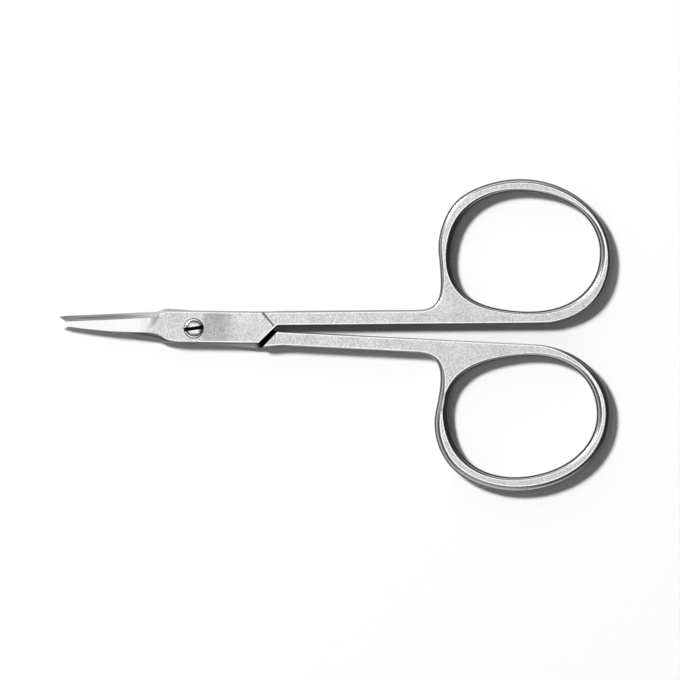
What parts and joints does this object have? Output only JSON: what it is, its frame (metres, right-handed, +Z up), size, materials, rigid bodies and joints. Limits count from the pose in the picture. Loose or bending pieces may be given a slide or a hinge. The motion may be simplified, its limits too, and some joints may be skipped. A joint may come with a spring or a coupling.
{
  "type": "manicure scissors",
  "caption": "Small straight-bladed manicure scissors: finger rings, slim shanks, an arrow-shaped lap joint with a slotted screw, and fine tapered blades.",
  "frame": {"origin": "on the pivot screw's axis, at the level of the faces that the scissors rest on", "axes": "+X from the blade tips to the finger rings along the line where the closed handles part, +Y to the front half's ring, +Z up, out of the screw's head"},
  "size_m": [0.0903, 0.0511, 0.0033],
  "materials": {
    "satin_front": "satin with polished edges",
    "satin_back": "satin with polished edges",
    "polished_screw": "polished"
  },
  "bodies": {
    "back": {"back_half": "satin_back", "pivot_screw": "polished_screw"},
    "front": {"front_half": "satin_front"}
  },
  "joints": [
    {"name": "blade_pivot", "type": "hinge", "parent": "back", "child": "front", "pos_m": [0, 0, 0.0015], "axis": [0, 0, 1], "range_deg": [-3.3, 148]}
  ]
}
